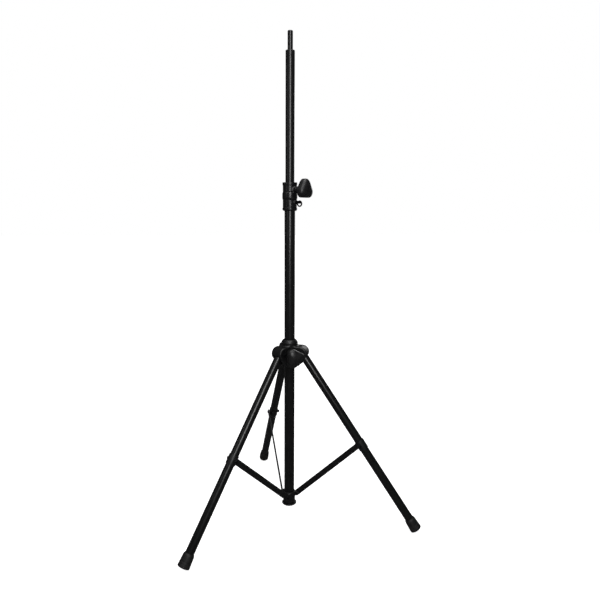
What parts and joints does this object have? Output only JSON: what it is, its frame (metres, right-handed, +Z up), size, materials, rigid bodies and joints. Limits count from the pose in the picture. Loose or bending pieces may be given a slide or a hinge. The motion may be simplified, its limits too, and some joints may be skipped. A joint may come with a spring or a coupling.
{
  "type": "tripod loudspeaker stand",
  "caption": "Black telescopic tripod stand with a height collar, clamping knobs, a safety pin and a sliding hub whose braced legs fold up to the column.",
  "frame": {"origin": "centre of the footprint's box on the floor, with the column axis a little towards -Y of it", "axes": "+Z up along the column, +Y towards the rear leg, +X to the right seen from the front"},
  "size_m": [0.963, 0.8404, 1.943],
  "materials": {
    "powder_coat": "satin black powder coat on steel tube and bar",
    "moulding": "black glass-filled nylon moulding, fine satin texture",
    "nylon": "black bearing nylon, smooth",
    "rubber": "matt black rubber",
    "black_steel": "black oxide steel"
  },
  "bodies": {
    "column": {"outer_tube": "powder_coat", "height_collar": "moulding", "collar_bush": "nylon", "collar_pressure_pad": "nylon", "collar_grub_screw": "black_steel", "bottom_collar": "moulding", "bottom_cap": "moulding", "brace_foot_bolt_rear": "black_steel", "brace_foot_bolt_left": "black_steel", "brace_foot_bolt_right": "black_steel"},
    "mast": {"inner_tube": "powder_coat", "top_plug": "moulding", "spigot": "powder_coat", "mast_guide_bush": "nylon"},
    "collar_knob": {"collar_knob": "moulding", "collar_knob_screw": "black_steel"},
    "safety_pin": {"safety_pin": "black_steel", "pin_cross_rod": "black_steel"},
    "pull_ring": {"pull_ring": "black_steel"},
    "hub": {"hub_casting": "moulding", "hub_liner": "nylon", "hub_pressure_pad": "nylon", "pivot_bolt_rear": "black_steel", "pivot_nut_rear": "black_steel", "pivot_bolt_left": "black_steel", "pivot_nut_left": "black_steel", "pivot_bolt_right": "black_steel", "pivot_nut_right": "black_steel"},
    "hub_knob": {"hub_knob": "moulding", "hub_knob_screw": "black_steel"},
    "leg_rear": {"leg_tube_rear": "powder_coat", "leg_plug_rear": "moulding", "leg_bracket_rear": "moulding", "bracket_bolt_rear": "black_steel", "bracket_nut_rear": "black_steel", "foot_rear": "rubber"},
    "brace_rear": {"brace_bar_rear": "powder_coat", "brace_top_bolt_rear": "black_steel"},
    "leg_left": {"leg_tube_left": "powder_coat", "leg_plug_left": "moulding", "leg_bracket_left": "moulding", "bracket_bolt_left": "black_steel", "bracket_nut_left": "black_steel", "foot_left": "rubber"},
    "brace_left": {"brace_bar_left": "powder_coat", "brace_top_bolt_left": "black_steel"},
    "leg_right": {"leg_tube_right": "powder_coat", "leg_plug_right": "moulding", "leg_bracket_right": "moulding", "bracket_bolt_right": "black_steel", "bracket_nut_right": "black_steel", "foot_right": "rubber"},
    "brace_right": {"brace_bar_right": "powder_coat", "brace_top_bolt_right": "black_steel"}
  },
  "joints": [
    {"name": "mast_slide", "type": "slide", "parent": "column", "child": "mast", "axis": [0, 0, 1], "range_m": [-0.47, 0.36]},
    {"name": "collar_knob_turn", "type": "hinge", "parent": "column", "child": "collar_knob", "pos_m": [0.03694, -0.17897, 1.361], "axis": [0.6157, -0.788, 0], "range_deg": [0, 360]},
    {"name": "pin_pull", "type": "slide", "parent": "column", "child": "safety_pin", "axis": [0.6157, -0.788, 0], "range_m": [0, 0.03]},
    {"name": "ring_swing", "type": "hinge", "parent": "safety_pin", "child": "pull_ring", "pos_m": [0.02906, -0.16889, 1.313], "axis": [-0.788, -0.6157, 0], "range_deg": [0, 110]},
    {"name": "hub_slide", "type": "slide", "parent": "column", "child": "hub", "axis": [0, 0, 1], "range_m": [0, 0.19539]},
    {"name": "hub_knob_turn", "type": "hinge", "parent": "hub", "child": "hub_knob", "pos_m": [0, -0.20169, 0.706], "axis": [0, -1, 0], "range_deg": [0, 360]},
    {"name": "leg_fold_rear", "type": "hinge", "parent": "hub", "child": "leg_rear", "pos_m": [0, -0.08119, 0.7138], "axis": [-1, 0, 0], "range_deg": [0, 33.32]},
    {"name": "brace_fold_rear", "type": "hinge", "parent": "column", "child": "brace_rear", "pos_m": [0, -0.10169, 0.0894], "axis": [1, 0, 0], "range_deg": [0, 42.24]},
    {"name": "leg_fold_left", "type": "hinge", "parent": "hub", "child": "leg_left", "pos_m": [-0.04373, -0.15694, 0.7138], "axis": [0.5, -0.866, 0], "range_deg": [0, 33.32]},
    {"name": "brace_fold_left", "type": "hinge", "parent": "column", "child": "brace_left", "pos_m": [-0.02598, -0.14669, 0.0894], "axis": [-0.5, 0.866, 0], "range_deg": [0, 42.24]},
    {"name": "leg_fold_right", "type": "hinge", "parent": "hub", "child": "leg_right", "pos_m": [0.04373, -0.15694, 0.7138], "axis": [0.5, 0.866, 0], "range_deg": [0, 33.32]},
    {"name": "brace_fold_right", "type": "hinge", "parent": "column", "child": "brace_right", "pos_m": [0.02598, -0.14669, 0.0894], "axis": [-0.5, -0.866, 0], "range_deg": [0, 42.24]}
  ],
  "couplings": [
    {"joint": "leg_fold_rear", "follows": "hub_slide", "rad_per_m": 2.9745},
    {"joint": "brace_fold_rear", "follows": "hub_slide", "rad_per_m": 3.7716},
    {"joint": "leg_fold_left", "follows": "hub_slide", "rad_per_m": 2.9745},
    {"joint": "brace_fold_left", "follows": "hub_slide", "rad_per_m": 3.7716},
    {"joint": "leg_fold_right", "follows": "hub_slide", "rad_per_m": 2.9745},
    {"joint": "brace_fold_right", "follows": "hub_slide", "rad_per_m": 3.7716}
  ]
}
